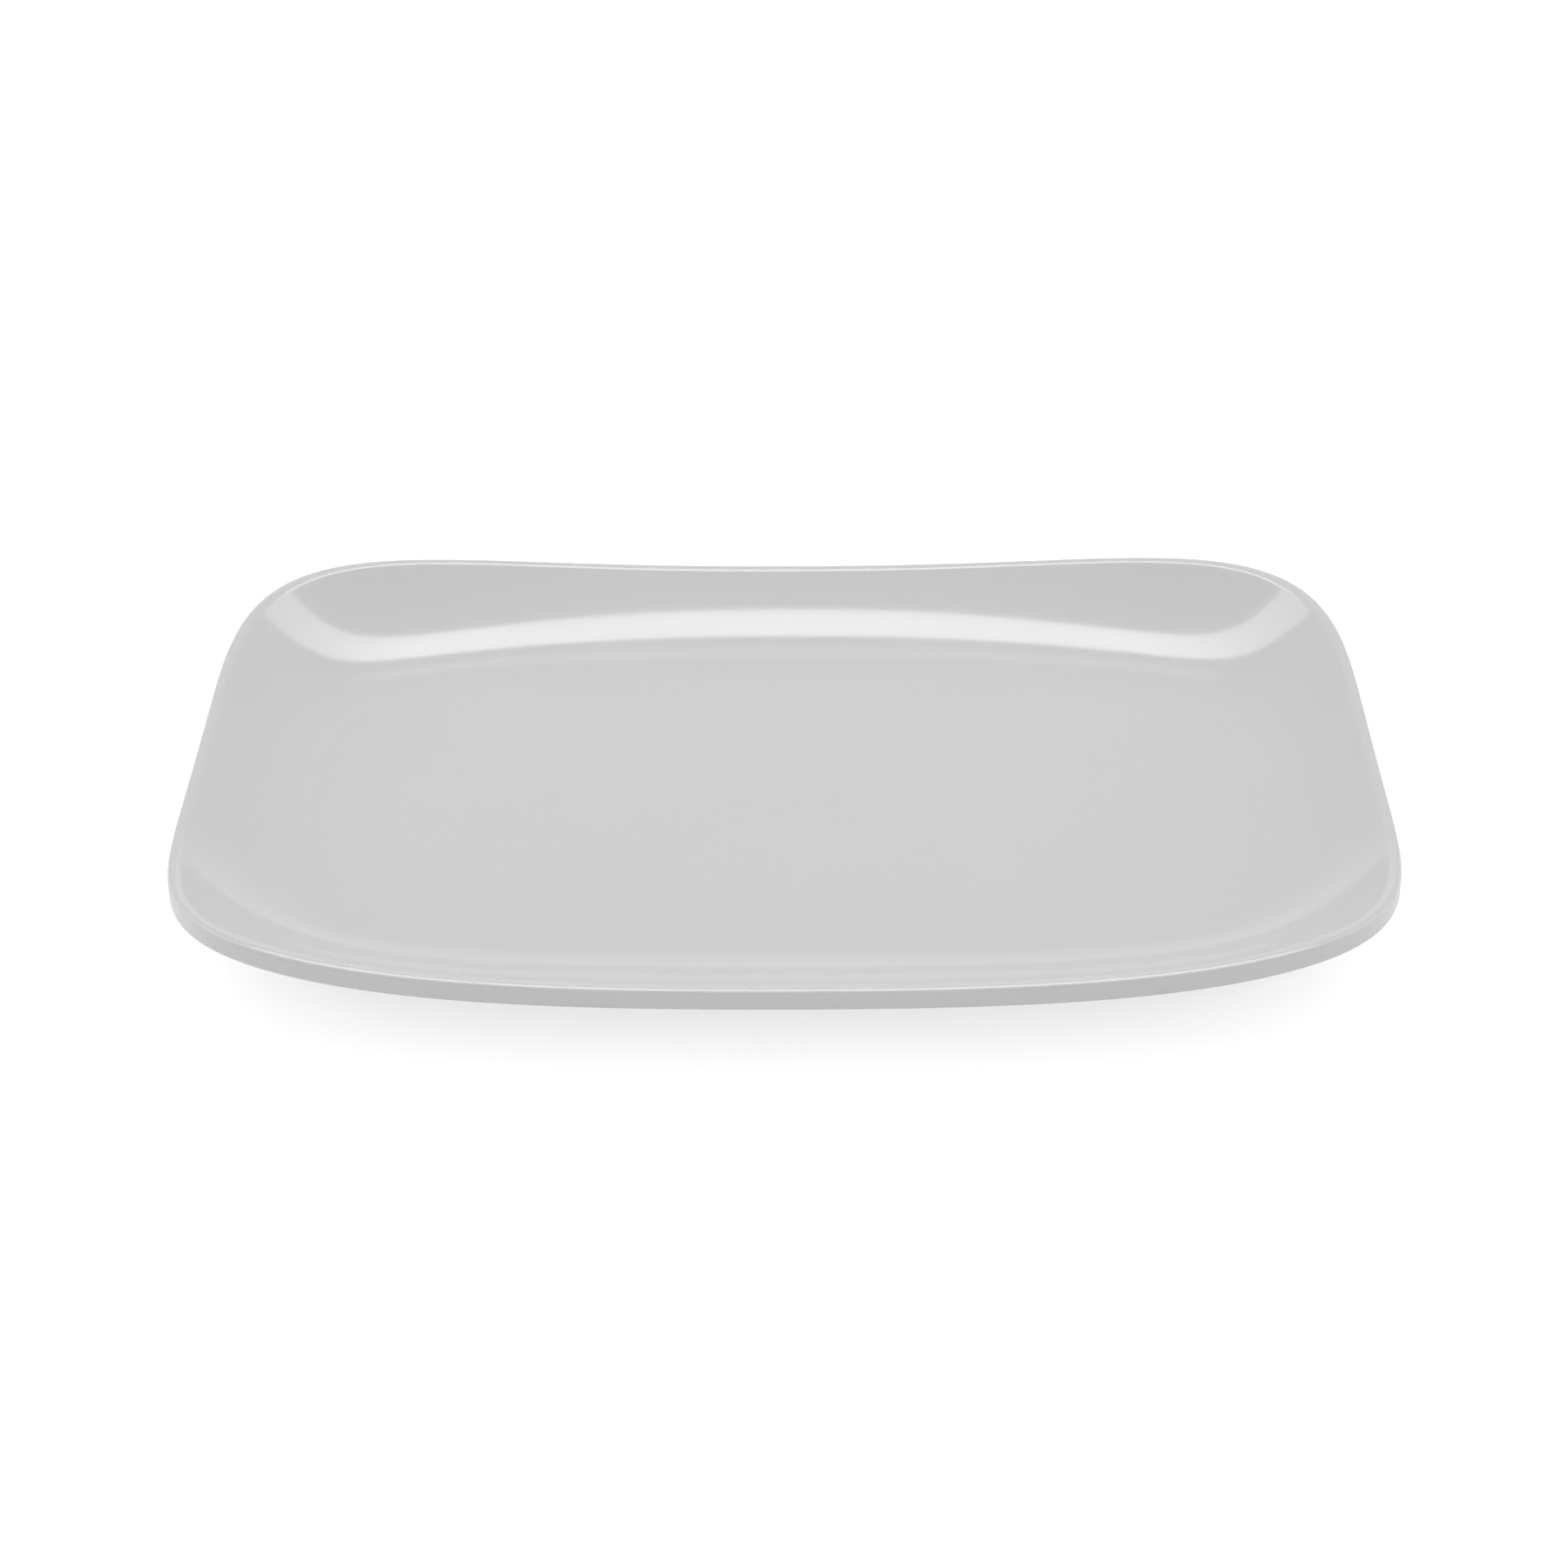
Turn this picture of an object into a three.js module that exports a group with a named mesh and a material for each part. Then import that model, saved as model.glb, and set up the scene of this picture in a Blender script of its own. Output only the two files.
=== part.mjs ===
// A rectangular coupe platter moulded in white melamine, in millimetres, +Z up.
// X runs along its length and Y across it. The origin lies under its centre, on the plane that its foot
// stands on. It is two bonded pieces: a body pressed from melamine compound, with the foot ring moulded in
// one with it, and the clear glaze that a second stroke of the press lays over the whole food face, out to
// the edge of the lip.
import * as THREE from "three";

// Plan
const LENGTH = 356;
const WIDTH = 254;
const SQUARENESS = 4.87; // exponent of every outline's superellipse: 2 is an ellipse, more is squarer

// Food face
const WELL_DEPTH = 18; // from the lip at the middle of a long side down to the level floor of the well
const SIDE_WALL_RUN = 49.5; // how far the wall sweeps outwards in plan, at the long sides
const END_WALL_RUN = 32.5; // the same at the two ends
const WALL_FULLNESS = 0.2; // 0 makes the wall a plain parabola, more brings its rise nearer to the floor
const END_LIFT = 1.3; // how much higher the lip stands at the middle of an end
const CORNER_LIFT = 6.2; // how much the corners turn up besides
const CORNER_LIFT_SHARPNESS = 2.4; // how closely that lift keeps to the corners

// Rim
const RIM_EDGE = 6; // height of the upright edge
const LOWER_ARRIS = 0.8; // setback of the rounded corner under the edge
const OUTER_ARRIS = 1.5; // setback of the rounded corner between edge and lip
const LIP_FLAT = 0.2; // straight top of the lip, between its two rounded corners
const INNER_ARRIS = 1.2; // setback of the rounded corner between lip and wall
const LIP_TILT = 0.2; // how far the lip falls inwards, for each millimetre of its width

// Floor and foot
const FLOOR_THICKNESS = 4.5; // glaze and body together
const FOOT_HEIGHT = 2.5;
const FOOT_WIDTH = 3.5; // level sole that meets the table
const FOOT_INSET = 6; // plan distance from the start of the wall in to the foot
const FOOT_DRAFT = 0.8; // how far each flank of the foot leans
const FOOT_ARRIS = 0.4; // bevel along both edges of the sole

// Glaze
const GLAZE_THICKNESS = 0.2;

// Facets
const SPOKES = 84; // sections around the platter
const CORNER_CROWDING = 0.5; // 0 spreads the sections evenly, more gathers them at the corners
const WALL_STEPS = 9;
const UNDERSIDE_STEPS = 7;
const ARRIS_STEPS = 3;

const halfLength = LENGTH / 2;
const halfWidth = WIDTH / 2;
const floorTop = FOOT_HEIGHT + FLOOR_THICKNESS;
const lipWidth = OUTER_ARRIS + LIP_FLAT + INNER_ARRIS; // from the upright edge in to the wall

// Every section of the platter is a list of stations. A station holds how far it lies in from the outline
// along X and along Y, and its height, so one list serves for a straight side and for a corner alike.
const station = (insetX, insetY, height) => new THREE.Vector3(insetX, insetY, height);

// The point of the unit superellipse that a section passes through.
function spokeAt(index) {
  const turn = (2 * Math.PI * index) / SPOKES;
  const angle = turn + (CORNER_CROWDING * Math.sin(4 * turn)) / 4;
  const spoke = new THREE.Vector2(Math.cos(angle), Math.sin(angle));
  const sum = Math.abs(spoke.x) ** SQUARENESS + Math.abs(spoke.y) ** SQUARENESS;
  return spoke.multiplyScalar(sum ** (-1 / SQUARENESS));
}

// Where a station lies in space on the section through a spoke.
function placed(spoke, { x: insetX, y: insetY, z: height }) {
  return [(halfLength - insetX) * spoke.x, (halfWidth - insetY) * spoke.y, height];
}

// Height of the lip: lowest in the middle of the long sides, a little higher at the ends, and highest at
// the corners.
function lipHeight(spoke) {
  const endShare = spoke.x ** 2 / spoke.lengthSq();
  const cornerShare = Math.abs(spoke.x * spoke.y) * 2 ** (2 / SQUARENESS);
  return floorTop + WELL_DEPTH + END_LIFT * endShare + CORNER_LIFT * cornerShare ** CORNER_LIFT_SHARPNESS;
}

// Share of its whole rise that a wall has made at a share of its run: level at the start, steepest at the
// top.
function riseShare(runShare) {
  return runShare ** 2 * (1 + WALL_FULLNESS * (1 - runShare));
}

// A wall that sweeps up from its start, at the given insets, to a top that lies nearer to the outline.
function sweptWall(start, top) {
  return (runShare) => {
    const point = start.clone().lerp(top, runShare);
    point.z = start.z + (top.z - start.z) * riseShare(runShare);
    return point;
  };
}

// Points along a rounded corner, from its first end to its last.
function arris(from, corner, to) {
  return new THREE.QuadraticBezierCurve3(from, corner, to).getPoints(ARRIS_STEPS);
}

// A point of the rounded corner between lip and edge, which is a parabola, at a share of the way round it.
function outerArrisPoint(lip, share) {
  const inset = OUTER_ARRIS * (1 - share) ** 2;
  return station(inset, inset, lip - OUTER_ARRIS * share ** 2);
}

// The ground edge cuts through the glaze where that corner has dropped by the glaze's thickness.
const glazeEdgeShare = Math.sqrt(GLAZE_THICKNESS / OUTER_ARRIS);

// A point of the lip's straight top, at an inset.
function lipPoint(lip, inset) {
  return station(inset, inset, lip - LIP_TILT * (inset - OUTER_ARRIS));
}

// Food face from the edge of the well's level floor, up the wall and over the inner arris onto the lip.
function foodFace(lip) {
  const wallStart = station(lipWidth + END_WALL_RUN, lipWidth + SIDE_WALL_RUN, floorTop);
  const wallTop = lipPoint(lip, lipWidth);
  const wall = sweptWall(wallStart, wallTop);
  const arrisStart = 1 - INNER_ARRIS / SIDE_WALL_RUN;
  const arrisEnd = lipPoint(lip, lipWidth - INNER_ARRIS);
  const face = [];
  for (let step = 0; step < WALL_STEPS; step++) {
    face.push(wall((arrisStart * step) / WALL_STEPS));
  }
  return [...face, ...arris(wall(arrisStart), wallTop, arrisEnd)];
}

// The same face as the body has it, under the glaze.
function bondFace(lip) {
  const glazeDrop = station(0, 0, GLAZE_THICKNESS);
  return foodFace(lip).map((point) => point.sub(glazeDrop));
}

// Upright edge, from where the glaze ends, over both arrises, and on along the underside to the foot.
function edgeAndUnderside(lip) {
  const edgeBottom = station(0, 0, lip - RIM_EDGE);
  const wallStart = station(lipWidth + END_WALL_RUN, lipWidth + SIDE_WALL_RUN, FOOT_HEIGHT);
  const wall = sweptWall(wallStart, edgeBottom);
  const arrisEnd = 1 - LOWER_ARRIS / wallStart.y;
  const face = [];
  for (let step = 0; step <= ARRIS_STEPS; step++) {
    const share = glazeEdgeShare + ((1 - glazeEdgeShare) * step) / ARRIS_STEPS;
    face.push(outerArrisPoint(lip, share));
  }
  const edgeEnd = station(0, 0, edgeBottom.z + LOWER_ARRIS);
  face.push(...arris(edgeEnd, edgeBottom, wall(arrisEnd)));
  for (let step = UNDERSIDE_STEPS - 1; step >= 0; step--) {
    face.push(wall((arrisEnd * step) / UNDERSIDE_STEPS));
  }
  return face;
}

// Foot ring: two leaning flanks and a level sole with bevelled edges, from its outer root to its inner
// root.
function footRing() {
  const bevelLean = (FOOT_DRAFT * FOOT_ARRIS) / FOOT_HEIGHT;
  const sole = FOOT_INSET + FOOT_DRAFT;
  const profile = [
    [FOOT_INSET, FOOT_HEIGHT],
    [sole - bevelLean, FOOT_ARRIS],
    [sole + FOOT_ARRIS, 0],
    [sole + FOOT_WIDTH - FOOT_ARRIS, 0],
    [sole + FOOT_WIDTH + bevelLean, FOOT_ARRIS],
    [sole + FOOT_WIDTH + FOOT_DRAFT, FOOT_HEIGHT],
  ];
  return profile.map(([inset, height]) =>
    station(lipWidth + END_WALL_RUN + inset, lipWidth + SIDE_WALL_RUN + inset, height),
  );
}

// The two triangles of a quad. Their shared side always joins the inner end of one section to the outer end
// of the next, whichever way the stations run, so two pieces bonded on one face have the same facets there.
function halves([a, b, c, d], outwards) {
  return outwards ? [a, b, c, a, c, d] : [a, b, d, b, c, d];
}

// A closed solid lofted through the sections. Each runs from the level disc on its first side, round the
// rim, to the level disc on its other side, and both discs close on the centre.
function loft(sectionAt) {
  const spokes = Array.from({ length: SPOKES }, (_, index) => spokeAt(index));
  const sections = spokes.map((spoke) => sectionAt(lipHeight(spoke)));
  const stations = sections[0].length;
  const positions = sections.flatMap((section, index) =>
    section.flatMap((point) => placed(spokes[index], point)),
  );
  const firstCentre = SPOKES * stations;
  const lastCentre = firstCentre + 1;
  positions.push(0, 0, sections[0][0].z);
  positions.push(0, 0, sections[0][stations - 1].z);

  const triangles = [];
  for (let index = 0; index < SPOKES; index++) {
    const here = index * stations;
    const next = ((index + 1) % SPOKES) * stations;
    triangles.push(firstCentre, here, next);
    for (let step = 0; step < stations - 1; step++) {
      const quad = [here + step, here + step + 1, next + step + 1, next + step];
      const outwards = sections[index][step + 1].y < sections[index][step].y;
      triangles.push(...halves(quad, outwards));
    }
    triangles.push(here + stations - 1, lastCentre, next + stations - 1);
  }

  const geometry = new THREE.BufferGeometry();
  geometry.setAttribute("position", new THREE.Float32BufferAttribute(positions, 3));
  geometry.setIndex(triangles);
  geometry.computeVertexNormals();
  return geometry;
}

// Body: the bond face under the glaze, the upright edge, the underside and the foot ring, in one piece.
function platterBody() {
  const geometry = loft((lip) => [...bondFace(lip), ...edgeAndUnderside(lip), ...footRing()]);
  const material = new THREE.MeshStandardMaterial({ color: "#dfdfdf", roughness: 0.38, metalness: 0 });
  const body = new THREE.Mesh(geometry, material);
  body.name = "platter_body";
  return body;
}

// Glaze: the food face out to the ground edge, and the same face again where it is bonded to the body.
function foodFaceGlaze() {
  const geometry = loft((lip) => [
    ...foodFace(lip),
    outerArrisPoint(lip, 0),
    outerArrisPoint(lip, glazeEdgeShare / 2),
    outerArrisPoint(lip, glazeEdgeShare),
    ...bondFace(lip).reverse(),
  ]);
  const material = new THREE.MeshStandardMaterial({ color: "#d8d8d8", roughness: 0.16, metalness: 0 });
  const glaze = new THREE.Mesh(geometry, material);
  glaze.name = "food_face_glaze";
  return glaze;
}

const platter = new THREE.Group();
platter.name = "rectangular_platter";
platter.add(platterBody(), foodFaceGlaze());

export default platter;
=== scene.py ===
# Rectangular coupe platter in white melamine, in metres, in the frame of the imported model.
import math

import bpy
from mathutils import Euler, Matrix, Vector


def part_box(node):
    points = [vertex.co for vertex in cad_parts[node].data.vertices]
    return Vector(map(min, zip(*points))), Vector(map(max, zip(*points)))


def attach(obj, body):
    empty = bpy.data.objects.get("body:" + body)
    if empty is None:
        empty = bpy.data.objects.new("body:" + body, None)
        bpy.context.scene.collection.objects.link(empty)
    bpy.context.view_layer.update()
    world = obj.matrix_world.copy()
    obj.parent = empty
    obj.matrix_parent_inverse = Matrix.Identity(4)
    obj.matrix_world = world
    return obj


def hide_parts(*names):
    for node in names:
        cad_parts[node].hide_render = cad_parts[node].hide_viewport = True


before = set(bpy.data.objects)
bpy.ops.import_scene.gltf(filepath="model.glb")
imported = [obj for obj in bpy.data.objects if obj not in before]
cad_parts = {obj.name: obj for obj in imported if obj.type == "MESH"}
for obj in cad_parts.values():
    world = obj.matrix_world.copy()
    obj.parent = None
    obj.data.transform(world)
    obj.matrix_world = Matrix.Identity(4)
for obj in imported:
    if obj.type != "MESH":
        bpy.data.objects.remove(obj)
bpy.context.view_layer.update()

# Platter body
# One pressing of white melamine compound, with the foot ring moulded in one with it. The halves of the mould
# meet at the upright edge, which is ground flush and polished to a satin. The underside keeps the soft sheen
# that the mould gave it.
body_low, body_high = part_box("platter_body")
glaze_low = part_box("food_face_glaze")[0]
LENGTH = body_high.x - body_low.x
WIDTH = body_high.y - body_low.y
SQUARENESS = 4.87  # exponent of every outline's superellipse: 2 is an ellipse, more is squarer
GLAZE_THICKNESS = 0.0002
FLOOR_TOP = glaze_low.z + GLAZE_THICKNESS
WELL_DEPTH = 0.018  # from the lip at the middle of a long side down to the level floor of the well
SIDE_WALL_RUN = 0.0495  # how far the wall sweeps outwards in plan, at the long sides
END_WALL_RUN = 0.0325  # the same at the two ends
WALL_FULLNESS = 0.2  # 0 makes the wall a plain parabola, more brings its rise nearer to the floor
END_LIFT = 0.0013  # how much higher the lip stands at the middle of an end
CORNER_LIFT = 0.0062  # how much the corners turn up besides
CORNER_LIFT_SHARPNESS = 2.4  # how closely that lift keeps to the corners
RIM_EDGE = 0.006  # height of the upright edge
LOWER_ARRIS = 0.0008  # setback of the rounded corner under the edge
OUTER_ARRIS = 0.0015  # setback of the rounded corner between edge and lip
LIP_FLAT = 0.0002  # straight top of the lip, between its two rounded corners
INNER_ARRIS = 0.0012  # setback of the rounded corner between lip and wall
LIP_TILT = 0.2  # how far the lip falls inwards, for each part of its width
LIP_WIDTH = OUTER_ARRIS + LIP_FLAT + INNER_ARRIS
SHOULDER_TILT = 0.325  # how far the lip's narrow outer shoulder falls outwards, for each part of its width
SHOULDER_ROUNDING = 0.0003  # setback of the rounding between that shoulder and the top
FOOT_HEIGHT = 0.0025
FOOT_WIDTH = 0.0035  # level sole that meets the table
FOOT_INSET = 0.006  # plan distance from the start of the wall in to the foot
FOOT_DRAFT = 0.0008  # how far each flank of the foot leans
FOOT_ARRIS = 0.0004  # rounding along both edges of the sole
FOOT_FILLET = 0.0009  # radius of the hollow where the foot grows out of the underside
SPOKES = 400  # sections around the platter
CORNER_CROWDING = 0.5  # 0 spreads the sections evenly, more gathers them at the corners
WALL_STEPS = 44
UNDERSIDE_STEPS = 28
ARRIS_STEPS = 12
EDGE_STEPS = 4
FOOT_STEPS = 5
CRISP_ANGLE = math.radians(28)  # faces that meet at more than this show an edge
SEAM_TOLERANCE = 1e-6  # points nearer than this are one point


def station(inset_x, inset_y, height, lip_share=0.0):
    """A point of the section: insets from the outline, a fixed height and a share of the lip's height."""
    return Vector((inset_x, inset_y, height, lip_share))


def swept_wall(start, top):
    """A wall, level at its start and steepest at its top, as a function of the share of its run."""

    def at(run_share):
        rise_share = run_share**2 * (1 + WALL_FULLNESS * (1 - run_share))
        plan = start.lerp(top, run_share)
        climb = start.lerp(top, rise_share)
        return station(plan.x, plan.y, climb.z, climb.w)

    return at


def rounded(start, corner, end, steps):
    """Points round a corner, from one side of it to the other, on a curve that leaves each side smoothly."""
    shares = [step / steps for step in range(steps + 1)]
    return [start.lerp(corner, share).lerp(corner.lerp(end, share), share) for share in shares]


def straight(start, end, steps):
    """Points between two stations, without the two themselves."""
    return [start.lerp(end, step / steps) for step in range(1, steps)]


wall_foot = station(LIP_WIDTH + END_WALL_RUN, LIP_WIDTH + SIDE_WALL_RUN, 0)


def lip_point(inset):
    """A point of the lip's straight top."""
    return station(inset, inset, -LIP_TILT * (inset - OUTER_ARRIS), 1)


def food_face(drop):
    """The food face, lowered by the drop: the well's centre, the wall and the inner arris of the lip."""
    lowered = station(0, 0, -drop)
    wall_top = lip_point(LIP_WIDTH)
    wall = swept_wall(wall_foot + station(0, 0, FLOOR_TOP), wall_top)
    arris_start = 1 - INNER_ARRIS / SIDE_WALL_RUN
    arris_end = lip_point(LIP_WIDTH - INNER_ARRIS)
    face = [station(LENGTH / 2, WIDTH / 2, FLOOR_TOP)]
    face += [wall(arris_start * step / WALL_STEPS) for step in range(WALL_STEPS)]
    face += rounded(wall(arris_start), wall_top, arris_end, ARRIS_STEPS)
    return [point + lowered for point in face]


def lip_shoulder():
    """The lip's outer corner in the glaze: a rounded top, and a narrow shoulder out to its edge."""
    crown = OUTER_ARRIS - SHOULDER_ROUNDING
    edge = crown - GLAZE_THICKNESS / SHOULDER_TILT
    shoulder_top = crown - SHOULDER_ROUNDING
    top = rounded(
        station(OUTER_ARRIS, OUTER_ARRIS, 0, 1),
        station(crown, crown, 0, 1),
        station(shoulder_top, shoulder_top, -SHOULDER_TILT * SHOULDER_ROUNDING, 1),
        ARRIS_STEPS,
    )
    return top + [station(edge, edge, -GLAZE_THICKNESS, 1)]


# The ground edge cuts through the glaze where the shoulder has fallen by the glaze's thickness.
glaze_edge = lip_shoulder()[-1]


def edge_and_underside():
    """The upright edge from where the glaze ends, its lower arris, and the underside of the wall."""
    edge_bottom = station(0, 0, -RIM_EDGE, 1)
    edge_end = station(0, 0, LOWER_ARRIS - RIM_EDGE, 1)
    wall = swept_wall(wall_foot + station(0, 0, FOOT_HEIGHT), edge_bottom)
    arris_end = 1 - LOWER_ARRIS / wall_foot.y
    corner = station(0, 0, glaze_edge.z - SHOULDER_TILT * glaze_edge.x, 1)
    face = rounded(glaze_edge, corner, station(0, 0, -OUTER_ARRIS, 1), ARRIS_STEPS)
    face += straight(face[-1], edge_end, EDGE_STEPS)
    face += rounded(edge_end, edge_bottom, wall(arris_end), ARRIS_STEPS)
    face += [wall(arris_end * step / UNDERSIDE_STEPS) for step in reversed(range(UNDERSIDE_STEPS))]
    return face


def foot_ring():
    """The foot's two leaning flanks and its level sole, with a hollow at each root and rounded edges."""

    def at(inset, height):
        return wall_foot + station(inset, inset, height)

    def flank(side):
        """The flank on the outer (0) or inner (1) side, from its root to the level sole."""
        turn = 1 if side == 0 else -1
        root = FOOT_INSET if side == 0 else FOOT_INSET + FOOT_WIDTH + 2 * FOOT_DRAFT
        lean = FOOT_DRAFT / FOOT_HEIGHT
        top = FOOT_HEIGHT - FOOT_FILLET
        hollow = rounded(
            at(root - turn * FOOT_FILLET, FOOT_HEIGHT),
            at(root, FOOT_HEIGHT),
            at(root + turn * lean * FOOT_FILLET, top),
            FOOT_STEPS,
        )
        sole_edge = root + turn * FOOT_DRAFT
        edge = rounded(
            at(sole_edge - turn * lean * FOOT_ARRIS, FOOT_ARRIS),
            at(sole_edge, 0),
            at(sole_edge + turn * FOOT_ARRIS, 0),
            FOOT_STEPS,
        )
        return hollow + edge

    return flank(0) + flank(1)[::-1] + [station(LENGTH / 2, WIDTH / 2, FOOT_HEIGHT)]


def plug(tree, socket, value):
    """Feeds a node's socket with another node's output, or sets it to a plain value."""
    if isinstance(value, bpy.types.NodeSocket):
        tree.links.new(value, socket)
    else:
        socket.default_value = value


def add_node(tree, kind, inputs=None, **settings):
    """Adds a node with its settings, and feeds its named inputs."""
    node = tree.nodes.new(kind)
    for name, value in settings.items():
        setattr(node, name, value)
    for name, value in (inputs or {}).items():
        plug(tree, node.inputs[name], value)
    return node


def calculate(tree, operation, *values, kind="ShaderNodeMath"):
    """Adds a node that does one sum on values or other nodes' outputs, and returns its output."""
    node = add_node(tree, kind, operation=operation)
    for socket, value in zip(node.inputs, values):
        plug(tree, socket, value)
    return node.outputs[0]


def loft_round_platter():
    """A tree that carries a section, given as a line of points, round the platter's superellipse outline.

    Each copy of the section stands on one spoke. The lip rises towards the ends and turns up at the corners,
    and every point follows it by its own lip_share.
    """
    tree = bpy.data.node_groups.new("loft_round_platter", "GeometryNodeTree")
    tree.is_modifier = True
    tree.interface.new_socket("Section", in_out="INPUT", socket_type="NodeSocketGeometry")
    for name in ("Length", "Width", "Squareness", "Side lip height", "End lift"):
        tree.interface.new_socket(name, in_out="INPUT", socket_type="NodeSocketFloat")
    for name in ("Corner lift", "Corner lift sharpness", "Corner crowding", "Crisp angle"):
        tree.interface.new_socket(name, in_out="INPUT", socket_type="NodeSocketFloat")
    tree.interface.new_socket("Spokes", in_out="INPUT", socket_type="NodeSocketInt")
    tree.interface.new_socket("Finish", in_out="INPUT", socket_type="NodeSocketMaterial")
    tree.interface.new_socket("Piece", in_out="OUTPUT", socket_type="NodeSocketGeometry")
    given = add_node(tree, "NodeGroupInput").outputs

    def whole(operation, *values):
        return calculate(tree, operation, *values, kind="FunctionNodeIntegerMath")

    def real(operation, *values):
        return calculate(tree, operation, *values)

    # A grid gives the faces: one row of points for each spoke, with the first spoke repeated at the end
    size = add_node(tree, "GeometryNodeAttributeDomainSize", {"Geometry": given["Section"]}, component="MESH")
    stations = size.outputs["Point Count"]
    rows = whole("ADD", given["Spokes"], 1)
    grid = add_node(tree, "GeometryNodeMeshGrid", {"Vertices X": rows, "Vertices Y": stations})
    index = add_node(tree, "GeometryNodeInputIndex").outputs[0]
    spoke = whole("DIVIDE_FLOOR", index, stations)
    place = whole("MODULO", index, stations)

    # The spoke's direction, clockwise from above so that faces point outwards, and where it meets the outline
    turn = real("DIVIDE", real("MULTIPLY", spoke, -math.tau), given["Spokes"])
    quarter_wave = real("DIVIDE", real("SINE", real("MULTIPLY", turn, 4)), 4)
    angle = real("MULTIPLY_ADD", quarter_wave, given["Corner crowding"], turn)
    along, across = real("COSINE", angle), real("SINE", angle)
    squareness = given["Squareness"]
    along_power = real("POWER", real("ABSOLUTE", along), squareness)
    across_power = real("POWER", real("ABSOLUTE", across), squareness)
    reach = real("POWER", real("ADD", along_power, across_power), real("DIVIDE", -1, squareness))
    unit_x, unit_y = real("MULTIPLY", along, reach), real("MULTIPLY", across, reach)

    # Height of the lip there
    end_lift = real("MULTIPLY", real("POWER", along, 2), given["End lift"])
    diagonal = real("MULTIPLY", real("ABSOLUTE", real("MULTIPLY", unit_x, unit_y)),
                    real("POWER", 2, real("DIVIDE", 2, squareness)))
    corner_share = real("POWER", diagonal, given["Corner lift sharpness"])
    corner_lift = real("MULTIPLY", corner_share, given["Corner lift"])
    lip = real("ADD", real("ADD", given["Side lip height"], end_lift), corner_lift)

    # The station of the section that each point of the grid takes
    section_point = add_node(tree, "GeometryNodeSampleIndex", data_type="FLOAT_VECTOR")
    plug(tree, section_point.inputs["Geometry"], given["Section"])
    plug(tree, section_point.inputs["Value"], add_node(tree, "GeometryNodeInputPosition").outputs[0])
    plug(tree, section_point.inputs["Index"], place)
    inset = add_node(tree, "ShaderNodeSeparateXYZ", {"Vector": section_point.outputs["Value"]}).outputs
    share = add_node(tree, "GeometryNodeSampleIndex", data_type="FLOAT")
    named_share = add_node(tree, "GeometryNodeInputNamedAttribute", {"Name": "lip_share"}, data_type="FLOAT")
    plug(tree, share.inputs["Geometry"], given["Section"])
    plug(tree, share.inputs["Value"], named_share.outputs["Attribute"])
    plug(tree, share.inputs["Index"], place)
    x = real("MULTIPLY", real("SUBTRACT", real("MULTIPLY", given["Length"], 0.5), inset["X"]), unit_x)
    y = real("MULTIPLY", real("SUBTRACT", real("MULTIPLY", given["Width"], 0.5), inset["Y"]), unit_y)
    z = real("MULTIPLY_ADD", share.outputs["Value"], lip, inset["Z"])
    position = add_node(tree, "ShaderNodeCombineXYZ", {"X": x, "Y": y, "Z": z}).outputs[0]

    # Points of the grid in place, with the seam and both centres closed, and how far each lies below the lip
    below_lip = real("SUBTRACT", lip, z)
    marked = add_node(tree, "GeometryNodeStoreNamedAttribute", data_type="FLOAT", domain="POINT")
    plug(tree, marked.inputs["Geometry"], grid.outputs["Mesh"])
    plug(tree, marked.inputs["Name"], "below_lip")
    plug(tree, marked.inputs["Value"], below_lip)
    shaped = add_node(tree, "GeometryNodeSetPosition")
    plug(tree, shaped.inputs["Geometry"], marked.outputs["Geometry"])
    plug(tree, shaped.inputs["Position"], position)
    closed = add_node(tree, "GeometryNodeMergeByDistance", {"Geometry": shaped.outputs["Geometry"]})
    closed.inputs["Distance"].default_value = SEAM_TOLERANCE

    # Smooth, but for the clear angle where the glaze's film ends on the body
    smooth = add_node(tree, "GeometryNodeSetShadeSmooth", {"Geometry": closed.outputs["Geometry"]})
    edge_angle = add_node(tree, "GeometryNodeInputMeshEdgeAngle").outputs["Unsigned Angle"]
    crisp = add_node(tree, "GeometryNodeSetShadeSmooth", domain="EDGE")
    plug(tree, crisp.inputs["Geometry"], smooth.outputs["Geometry"])
    plug(tree, crisp.inputs["Selection"], real("GREATER_THAN", edge_angle, given["Crisp angle"]))
    plug(tree, crisp.inputs["Shade Smooth"], False)
    realized = add_node(tree, "GeometryNodeRealizeInstances", {"Geometry": crisp.outputs["Geometry"]})
    finished = add_node(tree, "GeometryNodeSetMaterial", {"Geometry": realized.outputs["Geometry"]})
    plug(tree, finished.inputs["Material"], given["Finish"])
    add_node(tree, "NodeGroupOutput", {"Piece": finished.outputs["Geometry"]})
    return tree


loft_tree = loft_round_platter()


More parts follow.
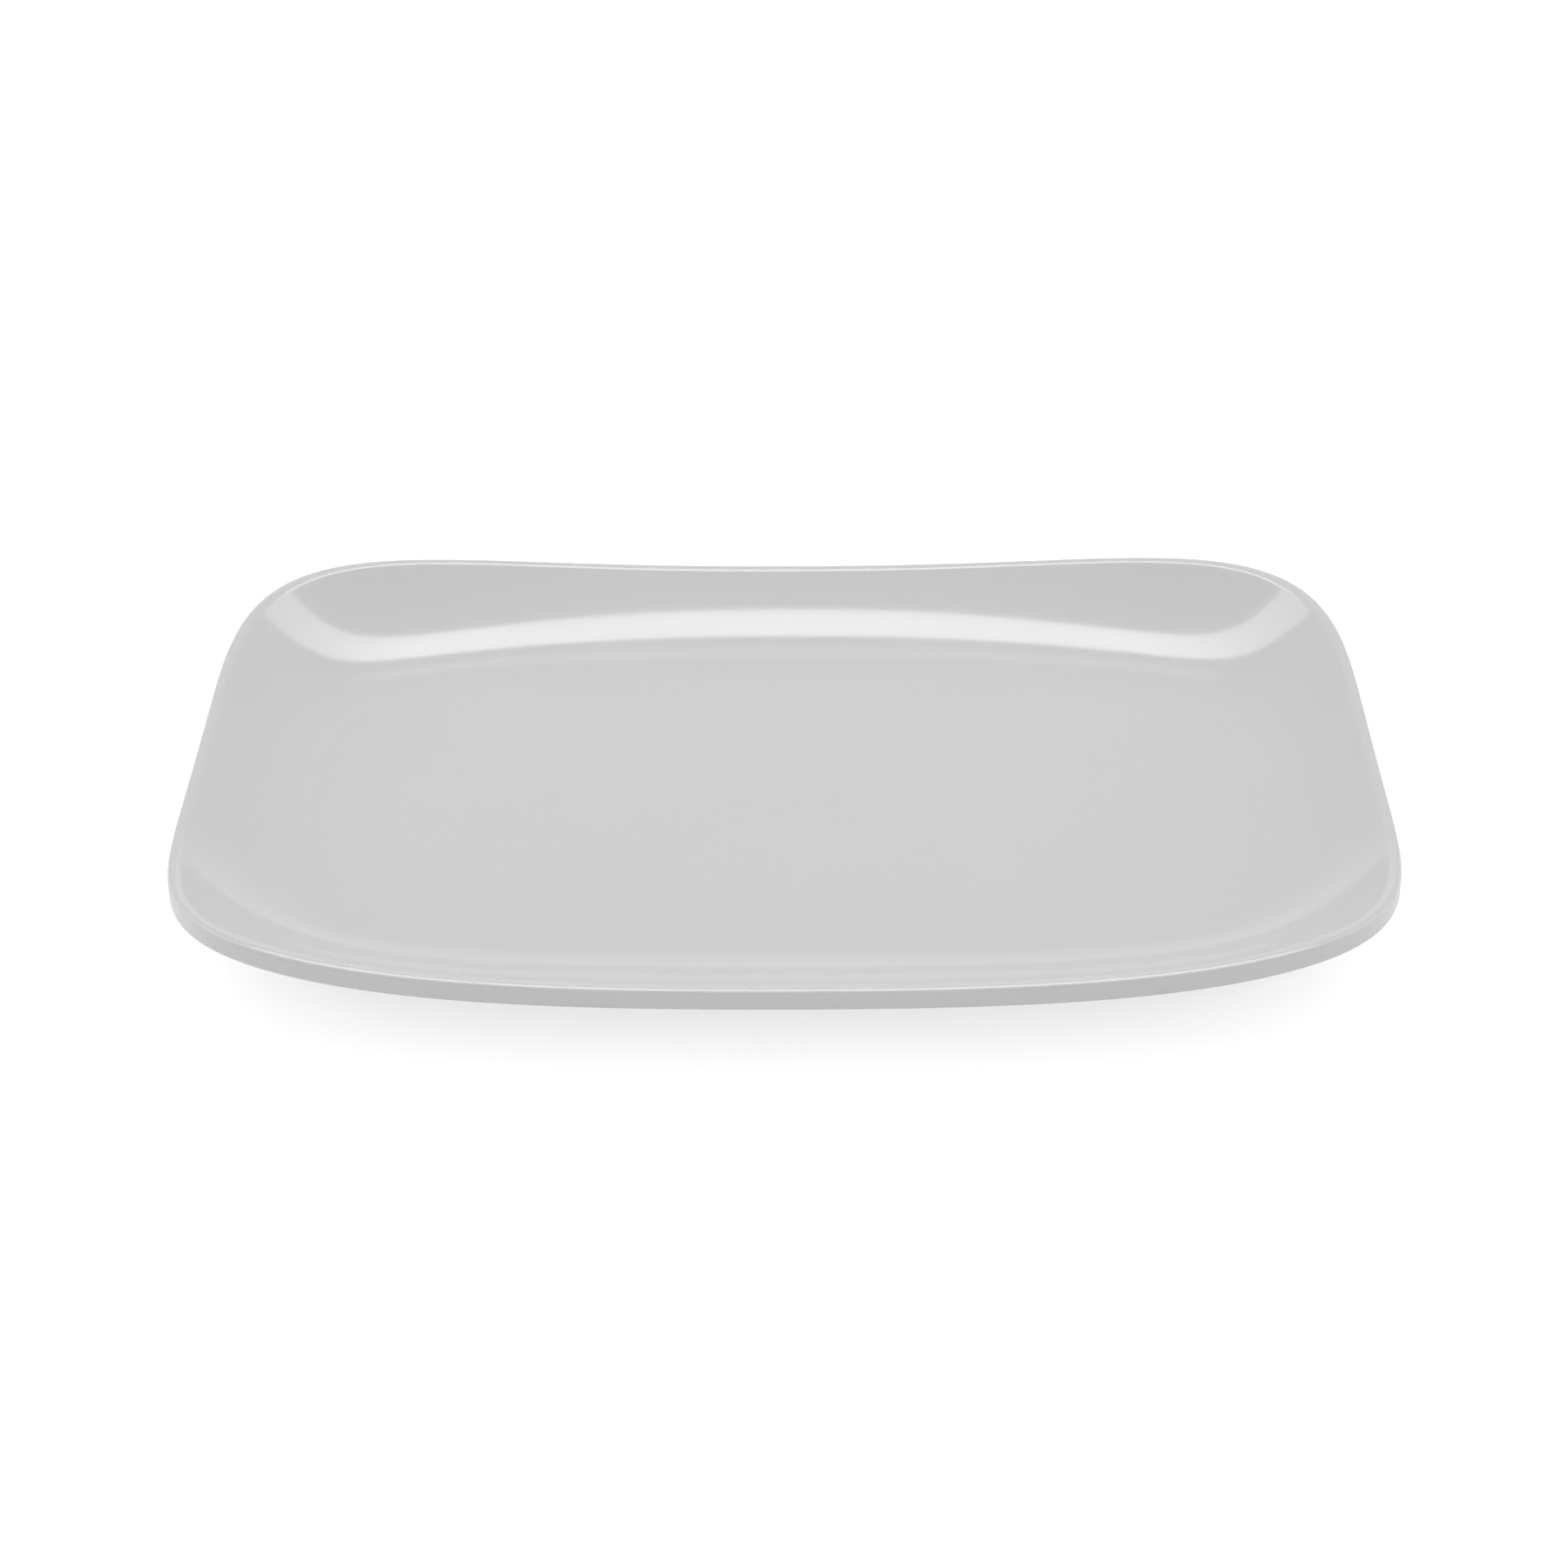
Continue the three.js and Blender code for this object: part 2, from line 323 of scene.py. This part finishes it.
def lofted_piece(name, section, finish):
    """A closed piece made by carrying the section round the platter."""
    line = bpy.data.meshes.new(name + "_section")
    line.from_pydata([point.xyz for point in section], [(i, i + 1) for i in range(len(section) - 1)], [])
    shares = line.attributes.new("lip_share", "FLOAT", "POINT")
    shares.data.foreach_set("value", [point.w for point in section])
    piece = bpy.data.objects.new(name, line)
    bpy.context.scene.collection.objects.link(piece)
    loft = piece.modifiers.new("loft", "NODES")
    loft.node_group = loft_tree
    sizes = {
        "Length": LENGTH,
        "Width": WIDTH,
        "Squareness": SQUARENESS,
        "Side lip height": FLOOR_TOP + WELL_DEPTH,
        "End lift": END_LIFT,
        "Corner lift": CORNER_LIFT,
        "Corner lift sharpness": CORNER_LIFT_SHARPNESS,
        "Corner crowding": CORNER_CROWDING,
        "Crisp angle": CRISP_ANGLE,
        "Spokes": SPOKES,
        "Finish": finish,
    }
    for socket in loft_tree.interface.items_tree:
        if socket.name in sizes:
            loft[socket.identifier] = sizes[socket.name]
    evaluated = piece.evaluated_get(bpy.context.evaluated_depsgraph_get())
    piece_mesh = bpy.data.meshes.new_from_object(evaluated)
    piece.modifiers.remove(loft)
    piece.data = piece_mesh
    piece_mesh.name = name
    bpy.data.meshes.remove(line)
    return piece


MOTTLE_CLOUDS = 22  # in a metre, as are the other counts here
MOTTLE_GRAINS = 420
GRAIN_SHARE = 0.35  # how much the grains show, next to the clouds
FLECK_CELLS = 48  # each has room for one fleck
FLECK_RADIUS = 0.011  # as a share of a cell
FLECK_CHANCE = 0.06  # that a cell has its fleck
GLOSS_SMEARS = 34
PEEL_WAVES = 90
PEEL_RIPPLES = 260
RIPPLE_SHARE = 0.6  # how much the ripples stand up, next to the waves
MELAMINE_IOR = 1.6


def melamine_surface():
    """A shader group for what every melamine surface shows: faint mottling, rare flecks and a fine peel."""
    group = bpy.data.node_groups.new("melamine_surface", "ShaderNodeTree")
    group.interface.new_socket("Colour", in_out="INPUT", socket_type="NodeSocketColor")
    for name in ("Mottle", "Fleck", "Smear"):
        group.interface.new_socket(name, in_out="INPUT", socket_type="NodeSocketFloat")
    group.interface.new_socket("Colour", in_out="OUTPUT", socket_type="NodeSocketColor")
    for name in ("Roughness change", "Peel"):
        group.interface.new_socket(name, in_out="OUTPUT", socket_type="NodeSocketFloat")
    given = add_node(group, "NodeGroupInput").outputs
    where = add_node(group, "ShaderNodeTexCoord").outputs["Object"]

    def noise(scale, detail):
        settings = {"Vector": where, "Scale": scale, "Detail": detail}
        return add_node(group, "ShaderNodeTexNoise", settings).outputs[0]

    def centred(value):
        return calculate(group, "MULTIPLY_ADD", value, 2, -1)

    cloud = centred(noise(MOTTLE_CLOUDS, 3))
    grain = centred(noise(MOTTLE_GRAINS, 2))
    mottle = calculate(group, "MULTIPLY_ADD", grain, GRAIN_SHARE, cloud)
    lightness = calculate(group, "MULTIPLY_ADD", mottle, given["Mottle"], 1)
    places = {"Vector": where, "Scale": FLECK_CELLS}
    cells = add_node(group, "ShaderNodeTexVoronoi", places, voronoi_dimensions="2D")
    spot = calculate(group, "LESS_THAN", cells.outputs["Distance"], FLECK_RADIUS)
    luck = add_node(group, "ShaderNodeSeparateColor", {"Color": cells.outputs["Color"]}).outputs["Red"]
    rare = calculate(group, "GREATER_THAN", luck, 1 - FLECK_CHANCE)
    fleck = calculate(group, "MULTIPLY", calculate(group, "MULTIPLY", spot, rare), given["Fleck"])
    shade = calculate(group, "MULTIPLY", lightness, calculate(group, "SUBTRACT", 1, fleck))
    tinted = add_node(group, "ShaderNodeVectorMath", operation="SCALE")
    plug(group, tinted.inputs[0], given["Colour"])
    plug(group, tinted.inputs["Scale"], shade)
    smear = calculate(group, "MULTIPLY", centred(noise(GLOSS_SMEARS, 4)), given["Smear"])
    peel = calculate(group, "MULTIPLY_ADD", noise(PEEL_RIPPLES, 1), RIPPLE_SHARE, noise(PEEL_WAVES, 1))
    add_node(group, "NodeGroupOutput", {"Colour": tinted.outputs[0], "Roughness change": smear, "Peel": peel})
    return group


surface_group = melamine_surface()

# Painted light: body and glaze are one white melamine, but the body's white is set lighter than the glaze's
# to lift the upright edge, which the lamps leave in shade
BODY_WHITE_PAINTED_LIGHTER = (0.765, 0.765, 0.765, 1)
BODY_ROUGHNESS = 0.36
BODY_MOTTLE = 0.016  # how far the lightness wanders
BODY_FLECK = 0.25  # how much darker a fleck is
BODY_SMEAR = 0.05  # how far the roughness wanders
GRINDING_LINES = 2600  # in a metre of the edge's height
GRINDING_LENGTH = 14  # how often a line changes along the edge, in a metre
GRINDING_DEPTH = 0.8  # how much the lines stand up, next to the peel
GRINDING_ROUGHNESS = 0.08  # how much rougher they are
BODY_BUMP = 0.25
BODY_BUMP_HEIGHT = 0.00003


def satin_melamine():
    """The body's surface: a satin with the fine lines of the wheel that ground the edge, in a white painted
    lighter to lift its shaded edge.
    """
    material = bpy.data.materials.new("satin_melamine")
    material.use_nodes = True
    tree = material.node_tree
    shader = tree.nodes["Principled BSDF"]
    surface = add_node(tree, "ShaderNodeGroup", node_tree=surface_group)
    # The body's white is painted lighter here, to brighten its shaded upright edge
    surface.inputs["Colour"].default_value = BODY_WHITE_PAINTED_LIGHTER
    surface.inputs["Mottle"].default_value = BODY_MOTTLE
    surface.inputs["Fleck"].default_value = BODY_FLECK
    surface.inputs["Smear"].default_value = BODY_SMEAR
    where = add_node(tree, "ShaderNodeTexCoord").outputs["Object"]
    below = add_node(tree, "ShaderNodeAttribute", attribute_name="below_lip").outputs["Fac"]
    flat = add_node(tree, "ShaderNodeSeparateXYZ", {"Vector": where}).outputs
    lines_at = add_node(tree, "ShaderNodeCombineXYZ")
    plug(tree, lines_at.inputs["X"], calculate(tree, "MULTIPLY", flat["X"], GRINDING_LENGTH))
    plug(tree, lines_at.inputs["Y"], calculate(tree, "MULTIPLY", flat["Y"], GRINDING_LENGTH))
    plug(tree, lines_at.inputs["Z"], calculate(tree, "MULTIPLY", below, GRINDING_LINES))
    lines = add_node(tree, "ShaderNodeTexNoise", {"Vector": lines_at.outputs[0], "Scale": 1, "Detail": 3})
    on_edge = calculate(tree, "LESS_THAN", below, RIM_EDGE)
    ground = calculate(tree, "MULTIPLY", lines.outputs[0], on_edge)
    roughness = calculate(tree, "ADD", surface.outputs["Roughness change"], BODY_ROUGHNESS)
    roughness = calculate(tree, "MULTIPLY_ADD", ground, GRINDING_ROUGHNESS, roughness)
    height = calculate(tree, "MULTIPLY_ADD", ground, GRINDING_DEPTH, surface.outputs["Peel"])
    bump = add_node(tree, "ShaderNodeBump", {"Strength": BODY_BUMP, "Distance": BODY_BUMP_HEIGHT})
    plug(tree, bump.inputs["Height"], height)
    plug(tree, shader.inputs["Base Color"], surface.outputs["Colour"])
    plug(tree, shader.inputs["Roughness"], roughness)
    plug(tree, shader.inputs["Normal"], bump.outputs["Normal"])
    shader.inputs["IOR"].default_value = MELAMINE_IOR
    return material


body = lofted_piece(
    "platter_body_pressing",
    food_face(GLAZE_THICKNESS) + edge_and_underside() + foot_ring(),
    satin_melamine(),
)
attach(body, "root")
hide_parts("platter_body")

# Food face glaze
# A film of clear melamine resin that a second stroke of the press lays over the white body, out to the ground
# edge. Under the lamps it reads as a glossy white, with the faint waviness that a cured resin film keeps.
GLAZE_WHITE = (0.69, 0.69, 0.69, 1)
GLAZE_ROUGHNESS = 0.09
GLAZE_MOTTLE = 0.010
GLAZE_FLECK = 0.16
GLAZE_SMEAR = 0.02
GLAZE_BUMP = 0.03
GLAZE_BUMP_HEIGHT = 0.00004


def clear_glaze_on_white():
    """The glossy food face: the white body seen through its clear film."""
    material = bpy.data.materials.new("clear_glaze_on_white")
    material.use_nodes = True
    tree = material.node_tree
    shader = tree.nodes["Principled BSDF"]
    surface = add_node(tree, "ShaderNodeGroup", node_tree=surface_group)
    surface.inputs["Colour"].default_value = GLAZE_WHITE
    surface.inputs["Mottle"].default_value = GLAZE_MOTTLE
    surface.inputs["Fleck"].default_value = GLAZE_FLECK
    surface.inputs["Smear"].default_value = GLAZE_SMEAR
    roughness = calculate(tree, "ADD", surface.outputs["Roughness change"], GLAZE_ROUGHNESS)
    bump = add_node(tree, "ShaderNodeBump", {"Strength": GLAZE_BUMP, "Distance": GLAZE_BUMP_HEIGHT})
    plug(tree, bump.inputs["Height"], surface.outputs["Peel"])
    plug(tree, shader.inputs["Base Color"], surface.outputs["Colour"])
    plug(tree, shader.inputs["Roughness"], roughness)
    plug(tree, shader.inputs["Normal"], bump.outputs["Normal"])
    shader.inputs["IOR"].default_value = MELAMINE_IOR
    return material


glaze = lofted_piece(
    "food_face_glaze_film",
    food_face(0) + lip_shoulder() + food_face(GLAZE_THICKNESS)[::-1],
    clear_glaze_on_white(),
)
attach(glaze, "root")
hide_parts("food_face_glaze")

# Studio
# A wide pale floor under the platter, one long soft light overhead that bows back at its two ends, a faint
# glow of lit ceiling behind it, and a grey room that is lighter at its two sides.
FLOOR_REACH = 30.0
FLOOR_GREY = (0.72, 0.72, 0.72, 1)
FLOOR_ROUGHNESS = 0.9
FLOOR_GLOW = 0.65  # what the camera and mirrors see on top of the lit floor, so that it reads as white

floor_mesh = bpy.data.meshes.new("floor")
floor_corners = [(-1, -1), (1, -1), (1, 1), (-1, 1)]
floor_mesh.from_pydata([(x * FLOOR_REACH, y * FLOOR_REACH, 0) for x, y in floor_corners], [], [(0, 1, 2, 3)])
floor = bpy.data.objects.new("floor", floor_mesh)
bpy.context.scene.collection.objects.link(floor)
floor_material = bpy.data.materials.new("pale_floor")
floor_material.use_nodes = True
floor_tree = floor_material.node_tree
floor_shader = floor_tree.nodes["Principled BSDF"]
floor_shader.inputs["Base Color"].default_value = FLOOR_GREY
floor_shader.inputs["Roughness"].default_value = FLOOR_ROUGHNESS
floor_shader.inputs["Specular IOR Level"].default_value = 0
floor_shader.inputs["Emission Color"].default_value = (1, 1, 1, 1)
ray = add_node(floor_tree, "ShaderNodeLightPath").outputs
seen = calculate(floor_tree, "MAXIMUM", ray["Is Camera Ray"], ray["Is Glossy Ray"])
seen = calculate(floor_tree, "MAXIMUM", seen, ray["Is Transmission Ray"])
floor_glow = calculate(floor_tree, "MULTIPLY", seen, FLOOR_GLOW)
plug(floor_tree, floor_shader.inputs["Emission Strength"], floor_glow)
floor_mesh.materials.append(floor_material)

SOFTBOX_ABOVE_LIP = 1.724
SOFTBOX_HEIGHT = FLOOR_TOP + WELL_DEPTH + SOFTBOX_ABOVE_LIP
SOFTBOX_NEAR_Y = 0.352  # its edge over the platter, in the middle
SOFTBOX_FAR_Y = 0.696
SOFTBOX_NEAR_BEND = 0.07  # how far the two edges bow back, at a metre from the middle
SOFTBOX_FAR_BEND = 0.195
SOFTBOX_REACH = 2.2  # from its middle to each end
SOFTBOX_RADIANCE = 3.65  # at its middle
SOFTBOX_FADE = 1.55  # distance from its middle over which that falls to 37 %
WATTS_PER_RADIANCE = 4.0  # for each square metre of an area light


def area_light(name, size_x, size_y, radiance):
    """A rectangular soft light of that radiance, facing down until it is turned."""
    lamp = bpy.data.lights.new(name, "AREA")
    lamp.shape = "RECTANGLE"
    lamp.size = size_x
    lamp.size_y = size_y
    lamp.energy = radiance * WATTS_PER_RADIANCE * size_x * size_y
    light = bpy.data.objects.new(name, lamp)
    bpy.context.scene.collection.objects.link(light)
    return light


SOFTBOX_BACK_Y = SOFTBOX_FAR_Y + SOFTBOX_FAR_BEND * SOFTBOX_REACH**2
softbox = area_light("softbox", 2 * SOFTBOX_REACH, SOFTBOX_BACK_Y - SOFTBOX_NEAR_Y, SOFTBOX_RADIANCE)
softbox.location = (0, (SOFTBOX_NEAR_Y + SOFTBOX_BACK_Y) / 2, SOFTBOX_HEIGHT)
softbox.data.use_nodes = True
lamp_tree = softbox.data.node_tree
on_lamp = add_node(lamp_tree, "ShaderNodeNewGeometry").outputs["Position"]
lamp_at = add_node(lamp_tree, "ShaderNodeSeparateXYZ", {"Vector": on_lamp}).outputs
bow = calculate(lamp_tree, "MULTIPLY", lamp_at["X"], lamp_at["X"])
near_edge = calculate(lamp_tree, "MULTIPLY_ADD", bow, SOFTBOX_NEAR_BEND, SOFTBOX_NEAR_Y)
far_edge = calculate(lamp_tree, "MULTIPLY_ADD", bow, SOFTBOX_FAR_BEND, SOFTBOX_FAR_Y)
past_near = calculate(lamp_tree, "GREATER_THAN", lamp_at["Y"], near_edge)
before_far = calculate(lamp_tree, "LESS_THAN", lamp_at["Y"], far_edge)
off_middle = calculate(lamp_tree, "ABSOLUTE", lamp_at["X"])
fading = calculate(lamp_tree, "EXPONENT", calculate(lamp_tree, "DIVIDE", off_middle, -SOFTBOX_FADE))
lamp_level = calculate(lamp_tree, "MULTIPLY", fading, calculate(lamp_tree, "MULTIPLY", past_near, before_far))
plug(lamp_tree, lamp_tree.nodes["Emission"].inputs["Strength"], lamp_level)

REAR_GLOW_RADIANCE = 0.33  # the lit ceiling that shows behind the softbox, past its dark frame
REAR_GLOW_LENGTH = 0.6
REAR_GLOW_WIDTH = 0.28
REAR_GLOW_Y = 1.0
REAR_GLOW_DROP = 0.05  # below the softbox, so that neither hides the other
rear_glow = area_light("rear_glow", REAR_GLOW_LENGTH, REAR_GLOW_WIDTH, REAR_GLOW_RADIANCE)
rear_glow.data.shape = "ELLIPSE"
rear_glow.location = (0, REAR_GLOW_Y, SOFTBOX_HEIGHT - REAR_GLOW_DROP)

CEILING_AND_REAR = 0.585  # radiance of the room above and behind
REAR_HORIZON = 0.9  # low down, straight behind
SIDE_WALLS = 1.15
FRONT_WALL = 0.55
# Where one part of the room starts, and ends, to pass into the next, along the direction's Y or Z
STRAIGHT_BEHIND = (0.84, 0.95)
HORIZON_TO_WALL = (0.1, 0.45)
SIDE_TO_REAR = (0.0, 0.8)
FRONT_TO_SIDE = (-0.8, 0.0)
WALL_TO_CEILING = (0.35, 0.9)
world = bpy.data.worlds.new("room")
bpy.context.scene.world = world
world.use_nodes = True
room = world.node_tree
direction = add_node(room, "ShaderNodeTexCoord").outputs["Generated"]
towards = add_node(room, "ShaderNodeSeparateXYZ", {"Vector": direction}).outputs


def fade(value, ends, first_level, last_level):
    """A smooth passage from one level to another as the value goes from one end to the other."""
    levels = {"From Min": ends[0], "From Max": ends[1], "To Min": first_level, "To Max": last_level}
    node = add_node(room, "ShaderNodeMapRange", {"Value": value} | levels, interpolation_type="SMOOTHSTEP")
    return node.outputs["Result"]


rear_low = fade(towards["Y"], STRAIGHT_BEHIND, CEILING_AND_REAR, REAR_HORIZON)
rear_wall = fade(towards["Z"], HORIZON_TO_WALL, rear_low, CEILING_AND_REAR)
rear_half = fade(towards["Y"], SIDE_TO_REAR, SIDE_WALLS, rear_wall)
walls = fade(towards["Y"], FRONT_TO_SIDE, FRONT_WALL, rear_half)
room_level = fade(towards["Z"], WALL_TO_CEILING, walls, CEILING_AND_REAR)
plug(room, room.nodes["Background"].inputs["Strength"], room_level)
room.nodes["Background"].inputs["Color"].default_value = (1, 1, 1, 1)

CAMERA_PLACE = Vector((0.0079, -0.9628, 0.5840))
CAMERA_PITCH = 0.5333
CAMERA_YAW = -0.0086
CAMERA_ROLL = -0.0065
CAMERA_LENS = 84.73
CAMERA_SENSOR = 36
CAMERA_CLIP_START = 0.05
camera_data = bpy.data.cameras.new("camera")
camera_data.lens = CAMERA_LENS
camera_data.sensor_width = CAMERA_SENSOR
camera_data.clip_start = CAMERA_CLIP_START
camera = bpy.data.objects.new("camera", camera_data)
bpy.context.scene.collection.objects.link(camera)
aim = Euler((math.pi / 2 - CAMERA_PITCH, 0, -CAMERA_YAW)).to_matrix().to_4x4()
camera.matrix_world = Matrix.Translation(CAMERA_PLACE) @ aim @ Matrix.Rotation(CAMERA_ROLL, 4, "Z")
bpy.context.scene.camera = camera

# Light runs along the curve of the glossy walls in many small bounces
WALL_BOUNCES = 32
bpy.context.scene.cycles.max_bounces = WALL_BOUNCES
bpy.context.scene.cycles.glossy_bounces = WALL_BOUNCES
bpy.context.scene.view_settings.view_transform = "Standard"
